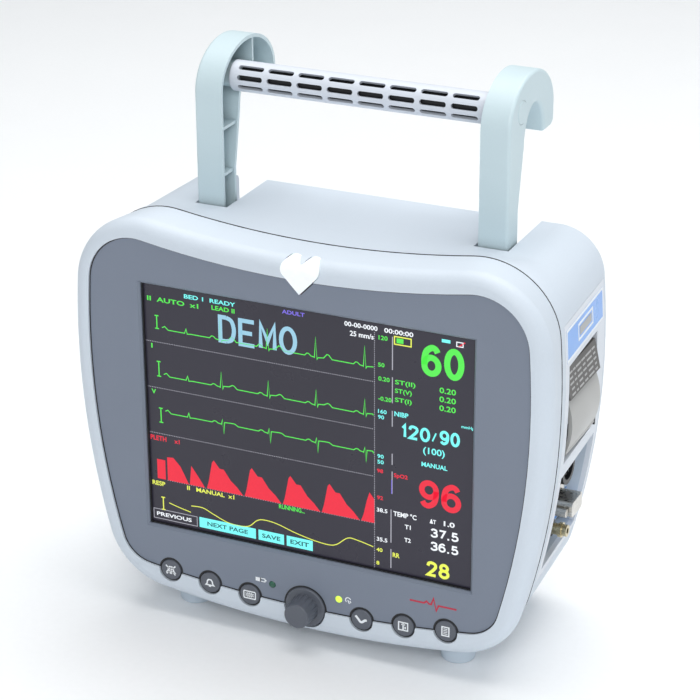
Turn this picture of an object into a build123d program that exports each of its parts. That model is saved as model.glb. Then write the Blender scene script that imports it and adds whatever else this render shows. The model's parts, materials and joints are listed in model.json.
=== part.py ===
from build123d import *
from math import cos, radians, sin
import os

# Portable patient monitor. x runs to the right, y runs from the screen to the back, z runs up.
# While the parts are made, y = 0 is the face of the grey panel and z = 0 is the table.

# ---------------------------------------------------------------- driving dimensions, millimetres

SCREEN_WIDTH = 211.2
SCREEN_HEIGHT = 158.4
SCREEN_Z = 139.5

FRONT_Y = -1.5
PARTING_Y = 29.0
PARTING_GAP = 0.6
BACK_Y = 120.6
WALL = 3.0
FRONT_EDGE_RADIUS = 8.5
BACK_EDGE_RADIUS = 4.0

FRONT_HALF_WIDTH = 153.0
REAR_HALF_WIDTH = 147.5
BACK_HALF_WIDTH = 142.8
CASE_WAIST_Z = 175.0
CASE_SIDE_RADIUS = 500.0
CASE_BOTTOM_Z = 9.3
CASE_BOTTOM_RADIUS = 670.0
CASE_TOP_Z = 249.5
BACK_TOP_Z = 248.5
CASE_TOP_RADIUS = 612.0
CASE_FLAT_RADIUS = 90000.0
CASE_LOW_CORNER = 44.0
CASE_HIGH_CORNER = 46.0
BACK_HIGH_CORNER = 29.0
FLARE_LENGTH = 33.0

PANEL_THICKNESS = 2.5
PANEL_HALF_WIDTH = 140.0
PANEL_WAIST_Z = 178.0
PANEL_SIDE_RADIUS = 500.0
PANEL_BOTTOM_Z = 26.3
PANEL_BOTTOM_RADIUS = 767.0
PANEL_TOP_Z = 237.1
PANEL_TOP_RADIUS = 594.0
PANEL_LOW_CORNER = 21.0
PANEL_HIGH_CORNER = 31.0
PANEL_FIT = 0.35
WINDOW_BEVEL = 1.4

FRONT_WALL_BACK = 5.0
MODULE_WIDTH = 224.0
MODULE_HEIGHT = 171.0
MODULE_FRONT = 4.0
GLASS_THICKNESS = 1.2
MODULE_BACK = 13.0

KEY_RADIUS = 6.7
KEY_GAP = 1.0
KEY_FRONT = -0.9
KEY_LENGTH = 9.6
KEY_PLACES = {
    "key_mute": (-91.1, 31.7),
    "key_alarm": (-64.2, 28.8),
    "key_freeze": (-37.1, 26.7),
    "key_pressure": (37.1, 26.7),
    "key_leads": (64.2, 28.8),
    "key_report": (91.1, 31.7),
}
KEY_BOARD_Y = 10.4
BOARD_THICKNESS = 1.6

KNOB_Z = 26.7
KNOB_SKIRT_RADIUS = 13.0
KNOB_ROOT_RADIUS = 9.0
KNOB_TIP_RADIUS = 7.85
KNOB_TIP_Y = -13.6
KNOB_SKIRT_FRONT = -1.4
KNOB_SKIRT_BACK = 2.0
KNOB_FLUTES = 16
SHAFT_RADIUS = 3.0
SHAFT_RUNNING_GAP = 0.05

LAMP_X = 22.0
LAMP_Z = 36.8
LAMP_RADIUS = 2.2

HEART_LOBE_X = 6.1
HEART_LOBE_RADIUS = 5.8
HEART_LOBE_Z = 244.3
HEART_TIP_Z = 229.7
HEART_PROUD = 1.6

POST_INNER_X = 81.8
POST_OUTER_X = 99.7
POST_FRONT_Y = 64.0
POST_BACK_Y = 81.0
POST_LOW_Z = 150.0
POST_STRAIGHT_Z = 268.0
POST_WALL = 2.2
POST_EDGE_RADIUS = 2.0
CROWN_REACH = 36.0
CROWN_LOW_Z = 317.0
CROWN_RISE = 27.4
ARCH_Y = 104.0
ARCH_LOW_Z = 303.0
ARCH_REACH = 16.0
ARCH_RISE = 21.7
TIP_ROUNDING = 5.0
RIB_PLACES = (182.0, 210.0, 238.5, 267.0, 295.6)
WEB_Y = 108.0
POST_SLIDE_GAP = 0.4
HANDLE_TRAVEL = 59.0
GRIP_Y = 82.9
GRIP_Z = 325.0
GRIP_RADIUS = 9.3
GRIP_WALL = 2.0
GRIP_SLOT_LENGTH = 16.4
GRIP_SLOT_WIDTH = 3.1
GRIP_SLOT_PITCH = 19.4
GRIP_SLOT_COUNT = 8
SPIGOT_REACH = 6.0
GRIP_CORE_RADIUS = 6.2
CAP_RADIUS = 7.0

NOTCH_FLOOR_Z = 205.0
NOTCH_INNER_X = 79.4
NOTCH_GAP = 1.0
NOTCH_WALL = 2.5

FOOT_X = 88.4
FOOT_FRONT_Y = 26.8
FOOT_REAR_Y = 103.0
FOOT_TOP_RADIUS = 12.2
FOOT_LOW_RADIUS = 10.2
FOOT_CONE_HEIGHT = 20.0

SIDE_PANEL_Y = (36.0, 115.0)
SIDE_PANEL_Z = (54.0, 220.0)
SIDE_GAP = 0.3
LABEL_Y = (39.0, 112.0)
LABEL_Z = (196.0, 216.0)
LABEL_THICKNESS = 0.4
RECORDER_Y = (43.5, 99.5)
RECORDER_Z = (131.0, 193.0)
RECORDER_INNER_X = 107.0
SOCKET_Y = (43.0, 110.0)
SOCKET_Z = (60.0, 122.0)
SOCKET_DEPTH = 10.0

BOSS_RADIUS = 4.6
SCREW_RADIUS = 2.0
SCREW_PLACES = [(-122.0, 222.0), (122.0, 222.0), (-104.0, 31.0), (104.0, 31.0)]
SCREW_HEAD_Y = 110.0

# The back's fittings, each at its (x, z).
BATTERY_DOOR = ((-112.0, 66.0), (-30.0, 132.0))
INLET_PLACE = (-84.0, 40.0)
SWITCH_PLACE = (-54.0, 40.0)
FUSE_PLACES = [(-32.0, 47.0), (-32.0, 33.0)]
STUD_PLACE = (-14.0, 40.0)
NETWORK_PLACE = (14.0, 40.0)
SPEAKER_PLACE = (52.0, 150.0)
VENT_PLACE = (52.0, 96.0)
ROCKER_AXIS_Y = BACK_Y - 0.5

# The recorder's parts, each at its (x, z), and the sockets at their (y, z).
RECORDER_LIP_X = 141.0
RECORDER_WALL = 1.5
DOOR_HINGE = (142.2, 135.6)
DOOR_BARREL_RADIUS = 2.2
DOOR_PIN_RADIUS = 1.0
DOOR_TOP_Z = 168.2
ROLL_PLACE = (124.5, 150.0)
ROLL_RADIUS = 14.0
ROLL_CORE_RADIUS = 6.0
ROLLER_PLACE = (136.0, 172.5)
ROLLER_RADIUS = 3.4
AXLE_RADIUS = 1.5
SPO2_PLACE = (72.0, 91.5)
ECG_PLACE = (84.0, 109.5)
PRESSURE_PLACE = (67.0, 76.0)
TEMP_PLACES = [(54.0, 69.0), (80.0, 69.0)]

CHASSIS_Y = 13.0
CHASSIS_THICKNESS = 1.2
MAIN_BOARD_Y = 24.0

# ---------------------------------------------------------------- helpers


def block(low, high):
    """A box between two opposite corners."""
    size = [high[i] - low[i] for i in range(3)]
    middle = [(high[i] + low[i]) / 2 for i in range(3)]
    return Pos(*middle) * Box(*size)


def along_y(sketch, front, back):
    """An outline drawn in x and z, made solid from y = front to y = back."""
    return extrude(Plane.XZ.offset(-back) * sketch, back - front)


def along_x(sketch, low, high):
    """An outline drawn in y and z, made solid from x = low to x = high."""
    return extrude(Plane.YZ.offset(low) * sketch, high - low)


def rod_y(x, z, radius, front, back):
    return along_y(Pos(x, z) * Circle(radius), front, back)


def rod_x(y, z, radius, low, high):
    return along_x(Pos(y, z) * Circle(radius), low, high)


def barrel_outline(half_width, waist_z, side_radius, bottom_z, bottom_radius, top_z, top_radius):
    """Bulging sides and bottom with a dipped top, still with sharp corners."""
    right = Pos(half_width - side_radius, waist_z) * Circle(side_radius)
    left = Pos(side_radius - half_width, waist_z) * Circle(side_radius)
    below = Pos(0, bottom_z + bottom_radius) * Circle(bottom_radius)
    above = Pos(0, top_z + top_radius) * Circle(top_radius)
    return (right & left & below) - above


def round_corners(outline, low_radius, high_radius):
    corners = outline.vertices().sort_by(Axis.Y)
    outline = fillet(corners[:2], low_radius)
    return fillet(outline.vertices().sort_by(Axis.Y)[-2:], high_radius)


def case_outline(half_width, top_z, top_radius, high_corner, inset):
    """The casing's outline in x and z, shrunk evenly by inset."""
    sharp = barrel_outline(
        half_width - inset,
        CASE_WAIST_Z,
        CASE_SIDE_RADIUS - inset,
        CASE_BOTTOM_Z + inset,
        CASE_BOTTOM_RADIUS - inset,
        top_z - inset,
        top_radius + inset,
    )
    return round_corners(sharp, CASE_LOW_CORNER - inset, high_corner - inset)


def front_section(y, inset):
    """The front casing's outline at one depth: it narrows to the rear casing's width."""
    share = (y - FRONT_Y) / (PARTING_Y - FRONT_Y)
    half_width = FRONT_HALF_WIDTH + (REAR_HALF_WIDTH - FRONT_HALF_WIDTH) * share
    outline = case_outline(half_width, CASE_TOP_Z, CASE_TOP_RADIUS, CASE_HIGH_CORNER, inset)
    return Plane.XZ.offset(-y) * outline


def front_block(inset, front, back):
    return loft([front_section(front, inset), front_section(back, inset)], ruled=True)


def panel_outline(inset):
    """The grey panel's outline in x and z, shrunk evenly by inset."""
    sharp = barrel_outline(
        PANEL_HALF_WIDTH - inset,
        PANEL_WAIST_Z,
        PANEL_SIDE_RADIUS - inset,
        PANEL_BOTTOM_Z + inset,
        PANEL_BOTTOM_RADIUS - inset,
        PANEL_TOP_Z - inset,
        PANEL_TOP_RADIUS + inset,
    )
    return round_corners(sharp, PANEL_LOW_CORNER - inset, PANEL_HIGH_CORNER - inset)


def front_form(inset):
    """The front casing as a full block with its rounded front edge."""
    form = front_block(inset, FRONT_Y + inset, PARTING_Y)
    form -= block((-160, PARTING_Y - PARTING_GAP, 0), (160, PARTING_Y + 1, 270))
    front_face = form.faces().sort_by(Axis.Y)[0]
    return fillet(front_face.edges(), FRONT_EDGE_RADIUS - inset)


def rear_half_width(y):
    return REAR_HALF_WIDTH - (REAR_HALF_WIDTH - BACK_HALF_WIDTH) * (y - PARTING_Y) / (BACK_Y - PARTING_Y)


def rear_section(y, inset):
    """The rear casing's outline at one depth: dipped at the parting line, flat-topped behind it."""
    dip = max(0, 1 - (y - PARTING_Y) / FLARE_LENGTH) ** 2
    outline = case_outline(
        rear_half_width(y),
        BACK_TOP_Z + (CASE_TOP_Z - BACK_TOP_Z) * dip,
        CASE_TOP_RADIUS / max(dip, CASE_TOP_RADIUS / CASE_FLAT_RADIUS),
        BACK_HIGH_CORNER + (CASE_HIGH_CORNER - BACK_HIGH_CORNER) * dip,
        inset,
    )
    return Plane.XZ.offset(-y) * outline


def rear_form(inset, front, back):
    """The rear casing as a full block: a short flare, then a straight run that narrows backwards."""
    flare_back = PARTING_Y + FLARE_LENGTH
    flare_step = FLARE_LENGTH / 4
    flare_depths = [front] + [PARTING_Y + flare_step * index for index in (1, 2, 3, 4)]
    flare = loft([rear_section(y, inset) for y in flare_depths])
    return flare + loft([rear_section(flare_back, inset), rear_section(back, inset)], ruled=True)


def screen_frame(width, height, front, back):
    return along_y(Pos(0, SCREEN_Z) * Rectangle(width, height), front, back)


def key_holes(front, back):
    return [rod_y(x, z, KEY_RADIUS + KEY_GAP, front, back) for x, z in KEY_PLACES.values()]


def heart_outline(grow):
    """Two round lobes that run down to a point."""
    lobes = [
        Pos(side * HEART_LOBE_X, HEART_LOBE_Z) * Circle(HEART_LOBE_RADIUS + grow) for side in (-1, 1)
    ]
    flank_x = HEART_LOBE_X + (HEART_LOBE_RADIUS + grow) * cos(radians(40))
    flank_z = HEART_LOBE_Z - (HEART_LOBE_RADIUS + grow) * sin(radians(40))
    centre = Polyline(
        (-flank_x, flank_z),
        (0, HEART_TIP_Z - grow),
        (flank_x, flank_z),
        (0, HEART_LOBE_Z + 2.5 + grow),
        close=True,
    )
    return make_face(centre) + lobes


# ---------------------------------------------------------------- front


def make_front_casing():
    casing = front_form(0)
    casing -= front_block(WALL, FRONT_WALL_BACK, PARTING_Y)
    casing -= along_y(panel_outline(-PANEL_FIT), FRONT_Y, PANEL_THICKNESS)
    casing -= screen_frame(MODULE_WIDTH + 2, MODULE_HEIGHT + 2, FRONT_Y, FRONT_WALL_BACK)
    for x, z in SCREW_PLACES:
        casing += rod_y(x, z, BOSS_RADIUS, FRONT_WALL_BACK, PARTING_Y - PARTING_GAP)
        casing -= rod_y(x, z, SCREW_RADIUS, FRONT_WALL_BACK + 3, PARTING_Y)
    casing -= key_holes(FRONT_Y, FRONT_WALL_BACK)
    casing -= rod_y(0, KNOB_Z, KNOB_SKIRT_RADIUS + 0.7, FRONT_Y, FRONT_WALL_BACK - 1.4)
    casing -= rod_y(0, KNOB_Z, 4.6, FRONT_Y, FRONT_WALL_BACK)
    for side in (-1, 1):
        casing -= rod_y(side * LAMP_X, LAMP_Z, LAMP_RADIUS + 0.1, FRONT_Y, FRONT_WALL_BACK)
    return casing - along_y(heart_outline(PANEL_FIT), FRONT_Y, 8.0)


def make_fascia_panel():
    panel = along_y(panel_outline(0), 0, PANEL_THICKNESS)
    panel -= screen_frame(SCREEN_WIDTH, SCREEN_HEIGHT, 0, PANEL_THICKNESS)
    window_edges = panel.faces().sort_by(Axis.Y)[0].inner_wires()[0].edges()
    panel = chamfer(window_edges, WINDOW_BEVEL)
    panel -= key_holes(0, PANEL_THICKNESS)
    panel -= rod_y(0, KNOB_Z, KNOB_SKIRT_RADIUS + 0.7, 0, PANEL_THICKNESS)
    for side in (-1, 1):
        panel -= rod_y(side * LAMP_X, LAMP_Z, LAMP_RADIUS + 0.1, 0, PANEL_THICKNESS)
    return panel - along_y(heart_outline(PANEL_FIT), 0, PANEL_THICKNESS)


def make_display_bezel():
    frame = screen_frame(MODULE_WIDTH, MODULE_HEIGHT, PANEL_THICKNESS, MODULE_FRONT)
    return frame - screen_frame(SCREEN_WIDTH - 1.6, SCREEN_HEIGHT - 1.6, PANEL_THICKNESS, MODULE_FRONT)


def make_display_glass():
    return screen_frame(MODULE_WIDTH, MODULE_HEIGHT, MODULE_FRONT, MODULE_FRONT + GLASS_THICKNESS)


def make_display_module():
    return screen_frame(MODULE_WIDTH, MODULE_HEIGHT, MODULE_FRONT + GLASS_THICKNESS, MODULE_BACK)


def make_alarm_lamp():
    prism = along_y(heart_outline(0), FRONT_Y - HEART_PROUD, 8.0)
    return prism & front_form(-HEART_PROUD)


def make_key(x, z):
    """A round cap with a flange behind the front wall that keeps it in."""
    cap = rod_y(x, z, KEY_RADIUS, KEY_FRONT, FRONT_WALL_BACK + 0.2)
    cap = fillet(cap.faces().sort_by(Axis.Y)[0].edges(), 0.9)
    flange = rod_y(x, z, KEY_RADIUS + 1.6, FRONT_WALL_BACK + 0.2, FRONT_WALL_BACK + 1.6)
    plunger = rod_y(x, z, 2.5, FRONT_WALL_BACK + 1.6, KEY_FRONT + KEY_LENGTH)
    return cap + flange + plunger


def make_key_board():
    return block((-98.5, KEY_BOARD_Y, 23), (98.5, KEY_BOARD_Y + BOARD_THICKNESS, 44))


def make_knob():
    """A skirted knob with a fluted, tapering grip."""
    skirt = rod_y(0, KNOB_Z, KNOB_SKIRT_RADIUS, KNOB_SKIRT_FRONT, KNOB_SKIRT_BACK)
    skirt = fillet(skirt.faces().sort_by(Axis.Y)[0].edges(), 1.0)
    grip = loft(
        [
            Plane.XZ.offset(-KNOB_SKIRT_FRONT) * Pos(0, KNOB_Z) * Circle(KNOB_ROOT_RADIUS),
            Plane.XZ.offset(-KNOB_TIP_Y) * Pos(0, KNOB_Z) * Circle(KNOB_TIP_RADIUS),
        ]
    )
    grip = fillet(grip.faces().sort_by(Axis.Y)[0].edges(), 1.2)
    for index in range(KNOB_FLUTES):
        angle = radians(360 * index / KNOB_FLUTES)
        reach = KNOB_ROOT_RADIUS + 0.35
        x = reach * cos(angle)
        z = KNOB_Z + reach * sin(angle)
        grip -= rod_y(x, z, 1.05, KNOB_TIP_Y + 1.5, KNOB_SKIRT_FRONT)
    return skirt + grip - rod_y(0, KNOB_Z, SHAFT_RADIUS, -9.0, KNOB_SKIRT_BACK)


def make_encoder_shaft():
    return rod_y(0, KNOB_Z, SHAFT_RADIUS, -9.0, 8.4)


def make_encoder_plunger():
    return rod_y(0, KNOB_Z, 2.2, 8.4, 9.2)


def make_encoder_body():
    body = block((-6.5, FRONT_WALL_BACK, KNOB_Z - 6.5), (6.5, KEY_BOARD_Y, KNOB_Z + 6.5))
    body += rod_y(0, KNOB_Z, 4.5, FRONT_WALL_BACK - 1.6, FRONT_WALL_BACK)
    return body - rod_y(0, KNOB_Z, SHAFT_RADIUS + SHAFT_RUNNING_GAP, 3.0, 10.0)


def make_lamp(side):
    lamp = rod_y(side * LAMP_X, LAMP_Z, LAMP_RADIUS, -0.5, KEY_BOARD_Y)
    return fillet(lamp.faces().sort_by(Axis.Y)[0].edges(), 0.9)


# ---------------------------------------------------------------- handle


def post_outline(inset):
    """The post's side view, straight below and hooked backwards above, shrunk evenly by inset."""
    front_y = POST_FRONT_Y + inset
    back_y = POST_BACK_Y - inset
    low_z = POST_LOW_Z + inset
    crown_reach = CROWN_REACH - inset
    tip_back_y = front_y + 2 * crown_reach
    tip_low_z = ARCH_LOW_Z + inset
    tip_radius = TIP_ROUNDING - inset
    arch_reach = ARCH_REACH + inset
    corners = [
        (tip_back_y, CROWN_LOW_Z),
        (tip_back_y, tip_low_z + tip_radius),
        (tip_back_y - tip_radius, tip_low_z),
        (ARCH_Y + arch_reach, tip_low_z),
        (ARCH_Y - arch_reach, tip_low_z),
        (back_y, POST_STRAIGHT_Z),
        (back_y, low_z),
        (front_y, low_z),
        (front_y, CROWN_LOW_Z),
    ]
    edges = [
        EllipticalCenterArc(
            (front_y + crown_reach, CROWN_LOW_Z), crown_reach, CROWN_RISE - inset, arc_size=180
        ),
        Line(corners[0], corners[1]),
        ThreePointArc(
            corners[1],
            (
                tip_back_y - tip_radius * (1 - cos(radians(45))),
                tip_low_z + tip_radius * (1 - sin(radians(45))),
            ),
            corners[2],
        ),
        Line(corners[2], corners[3]),
        EllipticalCenterArc((ARCH_Y, tip_low_z), arch_reach, ARCH_RISE, arc_size=180),
        Polyline(*corners[4:]),
    ]
    return make_face(edges)


def make_post():
    """The right-hand post, open on its inner side behind a few ribs."""
    post = along_x(post_outline(0), POST_INNER_X, POST_OUTER_X)
    post = fillet(post.faces().sort_by(Axis.X)[-1].edges(), POST_EDGE_RADIUS)
    pocket = along_x(post_outline(POST_WALL), POST_INNER_X, POST_OUTER_X - POST_WALL)
    rib_front_x = POST_INNER_X + 1.0
    ribs = [
        block((rib_front_x, POST_FRONT_Y, z - 0.9), (POST_OUTER_X, POST_BACK_Y + 15, z + 0.9))
        for z in RIB_PLACES
    ]
    ribs.append(block((rib_front_x, WEB_Y - 0.9, 320), (POST_OUTER_X, WEB_Y + 0.9, 350)))
    post -= pocket
    for rib in ribs:
        post += rib & pocket
    spigot_radius = GRIP_RADIUS - GRIP_WALL
    post += rod_x(GRIP_Y, GRIP_Z, spigot_radius, POST_INNER_X - SPIGOT_REACH, POST_OUTER_X - 1)
    post -= rod_x(GRIP_Y, GRIP_Z, 2.2, POST_INNER_X - SPIGOT_REACH, POST_OUTER_X)
    post -= rod_x(GRIP_Y, GRIP_Z, 4.4, POST_OUTER_X - 5, POST_OUTER_X)
    return post - rod_x(GRIP_Y, GRIP_Z, CAP_RADIUS, POST_OUTER_X - 1.2, POST_OUTER_X)


def make_grip():
    """A hollow tube with rows of slots along both sides, smooth on top."""
    grip = rod_x(GRIP_Y, GRIP_Z, GRIP_RADIUS, -POST_INNER_X, POST_INNER_X)
    grip = chamfer(grip.edges().filter_by(GeomType.CIRCLE), 0.8)
    grip -= rod_x(GRIP_Y, GRIP_Z, GRIP_RADIUS - GRIP_WALL, -POST_INNER_X, POST_INNER_X)
    slots = [
        Pos((index - (GRIP_SLOT_COUNT - 1) / 2) * GRIP_SLOT_PITCH, 0)
        * SlotOverall(GRIP_SLOT_LENGTH, GRIP_SLOT_WIDTH)
        for index in range(GRIP_SLOT_COUNT)
    ]
    cutter = along_y(Sketch() + slots, -GRIP_RADIUS - 2, 0)
    for angle in (50, 10, -28, 130, 170, 208):
        grip -= Pos(0, GRIP_Y, GRIP_Z) * Rot(-angle, 0, 0) * cutter
    return grip


def make_grip_tie_rod():
    """The rod that ties the posts together, thick inside the grip and headed at both ends."""
    reach = POST_OUTER_X - 1.2
    rod = rod_x(GRIP_Y, GRIP_Z, 2.0, -reach, reach)
    core_reach = POST_INNER_X - SPIGOT_REACH - 0.3
    rod += rod_x(GRIP_Y, GRIP_Z, GRIP_CORE_RADIUS, -core_reach, core_reach)
    rod += rod_x(GRIP_Y, GRIP_Z, 4.2, POST_OUTER_X - 5, reach)
    return rod + rod_x(GRIP_Y, GRIP_Z, 4.2, -reach, 5 - POST_OUTER_X)


def make_post_cap():
    cap = rod_x(GRIP_Y, GRIP_Z, CAP_RADIUS - 0.15, POST_OUTER_X - 1.2, POST_OUTER_X + 0.3)
    return chamfer(cap.faces().sort_by(Axis.X)[-1].edges(), 0.4)


def make_handle_rail():
    """The closed guide inside the casing that the right-hand post slides in."""
    top = NOTCH_FLOOR_Z - NOTCH_WALL
    low = POST_LOW_Z - HANDLE_TRAVEL - 7
    gap = POST_SLIDE_GAP
    rail = block(
        (POST_INNER_X - gap - 2.4, POST_FRONT_Y - gap - 2.4, low),
        (POST_OUTER_X + gap + 2.4, POST_BACK_Y + gap + 2.4, top),
    )
    return rail - block(
        (POST_INNER_X - gap, POST_FRONT_Y - gap, low + 2.4),
        (POST_OUTER_X + gap, POST_BACK_Y + gap, top),
    )


# ---------------------------------------------------------------- rear casing and its fittings


def notch(grow, low_z):
    """The channel behind one post, open at the back and at the top."""
    gap = NOTCH_GAP + grow
    return block(
        (NOTCH_INNER_X - grow, POST_FRONT_Y - gap, low_z - grow), (POST_OUTER_X + gap, BACK_Y, 300)
    )


def make_rear_casing():
    outer = rear_form(0, PARTING_Y, BACK_Y)
    back_face = outer.faces().sort_by(Axis.Y)[-1]
    outer = fillet(back_face.edges(), BACK_EDGE_RADIUS)
    casing = outer - rear_form(WALL, PARTING_Y - 1, BACK_Y - WALL)
    for x, z in SCREW_PLACES:
        casing += rod_y(x, z, BOSS_RADIUS, PARTING_Y, BACK_Y - 1)
    walls = notch(NOTCH_WALL, NOTCH_FLOOR_Z) & outer
    channel = notch(0, NOTCH_FLOOR_Z)
    gap = POST_SLIDE_GAP
    floor_hole = block(
        (POST_INNER_X - gap, POST_FRONT_Y - gap, NOTCH_FLOOR_Z - 5),
        (POST_OUTER_X + gap, POST_BACK_Y + gap, NOTCH_FLOOR_Z + 5),
    )
    casing += [walls, mirror(walls, Plane.YZ)]
    casing -= [channel, mirror(channel, Plane.YZ)]
    casing -= [floor_hole, mirror(floor_hole, Plane.YZ)]
    for x, z in SCREW_PLACES:
        casing -= rod_y(x, z, SCREW_RADIUS + 0.2, PARTING_Y, BACK_Y)
        casing -= rod_y(x, z, 3.7, SCREW_HEAD_Y, BACK_Y)
    casing -= block((120, SIDE_PANEL_Y[0], SIDE_PANEL_Z[0]), (160, SIDE_PANEL_Y[1], SIDE_PANEL_Z[1]))
    return cut_back_openings(casing)


def back_rectangle(place, width, height, front, back):
    return along_y(Pos(*place) * Rectangle(width, height), front, back)


def cut_back_openings(casing):
    inside = BACK_Y - WALL
    (low_x, low_z), (high_x, high_z) = BATTERY_DOOR
    casing -= block((low_x, inside, low_z), (high_x, BACK_Y, high_z))
    casing -= back_rectangle(INLET_PLACE, 27.4, 20.4, inside, BACK_Y)
    casing -= back_rectangle(SWITCH_PLACE, 19.4, 13.4, inside, BACK_Y)
    for place in FUSE_PLACES:
        casing -= rod_y(*place, 5.2, inside, BACK_Y)
    casing -= rod_y(*STUD_PLACE, 3.2, inside, BACK_Y)
    casing -= back_rectangle(NETWORK_PLACE, 16.4, 13.6, inside, BACK_Y)
    for index in range(-3, 4):
        length = (36, 33, 24, 12)[abs(index)]
        slot = Pos(SPEAKER_PLACE[0], SPEAKER_PLACE[1] + 4.6 * index) * SlotOverall(length, 2.2)
        casing -= along_y(slot, inside, BACK_Y)
    for index in range(-3, 4):
        slot = Pos(VENT_PLACE[0] + 8.0 * index, VENT_PLACE[1]) * SlotOverall(34, 2.6, rotation=90)
        casing -= along_y(slot, inside, BACK_Y)
    return casing


def side_skin(depth_from, depth_to, y_range, z_range):
    """A slice of the rear casing's side wall, between two depths below its surface."""
    skin = rear_form(depth_from, PARTING_Y, BACK_Y) - rear_form(depth_to, PARTING_Y, BACK_Y)
    return skin & block((120, y_range[0], z_range[0]), (160, y_range[1], z_range[1]))


def shrink(span, gap):
    return (span[0] + gap, span[1] - gap)


def make_side_panel():
    panel = side_skin(0, WALL, shrink(SIDE_PANEL_Y, SIDE_GAP), shrink(SIDE_PANEL_Z, SIDE_GAP))
    panel -= side_skin(0, LABEL_THICKNESS, LABEL_Y, LABEL_Z)
    panel -= block((120, RECORDER_Y[0], RECORDER_Z[0]), (160, RECORDER_Y[1], RECORDER_Z[1]))
    return panel - block((120, SOCKET_Y[0], SOCKET_Z[0]), (160, SOCKET_Y[1], SOCKET_Z[1]))


def make_side_label():
    return side_skin(0, LABEL_THICKNESS, shrink(LABEL_Y, 0.1), shrink(LABEL_Z, 0.1))


# ---------------------------------------------------------------- strip recorder


def make_recorder_frame():
    """The open box that holds the paper, with bearings for the roller, spool and door pin."""
    low = (RECORDER_INNER_X, RECORDER_Y[0] + 0.4, RECORDER_Z[0] + 0.4)
    high = (RECORDER_LIP_X, RECORDER_Y[1] - 0.4, RECORDER_Z[1] - 0.4)
    inner_low = [value + RECORDER_WALL for value in low]
    inner_high = [RECORDER_LIP_X + 1, high[1] - RECORDER_WALL, high[2] - RECORDER_WALL]
    frame = block(low, high) - block(inner_low, inner_high)
    ear_low = (DOOR_HINGE[0] - 3, low[1], DOOR_HINGE[1] - 2.4)
    ear_high = (DOOR_HINGE[0] + 2.4, low[1] + RECORDER_WALL, DOOR_HINGE[1] + 2.4)
    frame += block(ear_low, ear_high)
    shift = high[1] - low[1] - RECORDER_WALL
    frame += Pos(0, shift, 0) * block(ear_low, ear_high)
    frame -= rod_y(*DOOR_HINGE, DOOR_PIN_RADIUS, low[1], high[1])
    running = AXLE_RADIUS + SHAFT_RUNNING_GAP
    frame -= rod_y(*ROLLER_PLACE, running, low[1], high[1])
    return frame - rod_y(*ROLL_PLACE, running, low[1], high[1])


def make_recorder_top():
    """The sloped instruction plate above the paper door."""
    profile = Polyline(
        (RECORDER_LIP_X, 189.8),
        (143.7, 189.8),
        (147.6, 171.6),
        (144.8, 171.0),
        (RECORDER_LIP_X, 186.0),
        close=True,
    )
    return along_y(make_face(profile), RECORDER_Y[0] + 1, RECORDER_Y[1] - 4)


def make_recorder_door():
    """The bulged paper door, with its hinge barrel along the lower edge."""
    hinge_x, hinge_z = DOOR_HINGE
    outside = ThreePointArc((144.6, DOOR_TOP_Z), (147.6, 155), (144.4, hinge_z + 1))
    inside = ThreePointArc((142.4, hinge_z + 1), (145.2, 155), (142.4, DOOR_TOP_Z))
    edges = [
        outside,
        Line((144.4, hinge_z + 1), (142.4, hinge_z + 1)),
        inside,
        Line((142.4, DOOR_TOP_Z), (144.6, DOOR_TOP_Z)),
    ]
    front = RECORDER_Y[0] + 5.0
    back = RECORDER_Y[1] - 2.4
    door = along_y(make_face(edges), front, back)
    door += rod_y(hinge_x, hinge_z, DOOR_BARREL_RADIUS, front, back)
    return door - rod_y(hinge_x, hinge_z, DOOR_PIN_RADIUS + SHAFT_RUNNING_GAP, front, back)


def make_recorder_hinge_pin():
    return rod_y(*DOOR_HINGE, DOOR_PIN_RADIUS, RECORDER_Y[0] + 0.4, RECORDER_Y[1] - 0.4)


def make_recorder_roller():
    roller = rod_y(*ROLLER_PLACE, ROLLER_RADIUS, RECORDER_Y[0] + 3, RECORDER_Y[1] - 3)
    return roller + rod_y(*ROLLER_PLACE, AXLE_RADIUS, RECORDER_Y[0] + 0.4, RECORDER_Y[1] - 0.4)


def make_paper_roll():
    front = RECORDER_Y[0] + 3
    back = RECORDER_Y[1] - 3
    return rod_y(*ROLL_PLACE, ROLL_RADIUS, front, back) - rod_y(*ROLL_PLACE, ROLL_CORE_RADIUS, front, back)


def make_paper_spool():
    spool = rod_y(*ROLL_PLACE, ROLL_CORE_RADIUS, RECORDER_Y[0] + 3, RECORDER_Y[1] - 3)
    return spool + rod_y(*ROLL_PLACE, AXLE_RADIUS, RECORDER_Y[0] + 0.4, RECORDER_Y[1] - 0.4)


def make_thermal_head():
    return block((112, RECORDER_Y[0] + 4, 176.6), (138, RECORDER_Y[1] - 4, 180.6))


def make_recorder_motor():
    return rod_y(118, 186, 5.0, RECORDER_Y[0] + 4, RECORDER_Y[0] + 30)


# ---------------------------------------------------------------- lead sockets


def wall_x(y, z):
    """How far out the rear casing's side wall is at one height and depth."""
    return rear_half_width(y) - (z - CASE_WAIST_Z) ** 2 / (2 * CASE_SIDE_RADIUS)


def socket_rod(place, radius, low, high):
    """A round piece on the tray, its ends counted from the tray's floor."""
    y, z = place
    floor_x = wall_x(y, z) - SOCKET_DEPTH
    return rod_x(y, z, radius, floor_x + low, floor_x + high)


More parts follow.
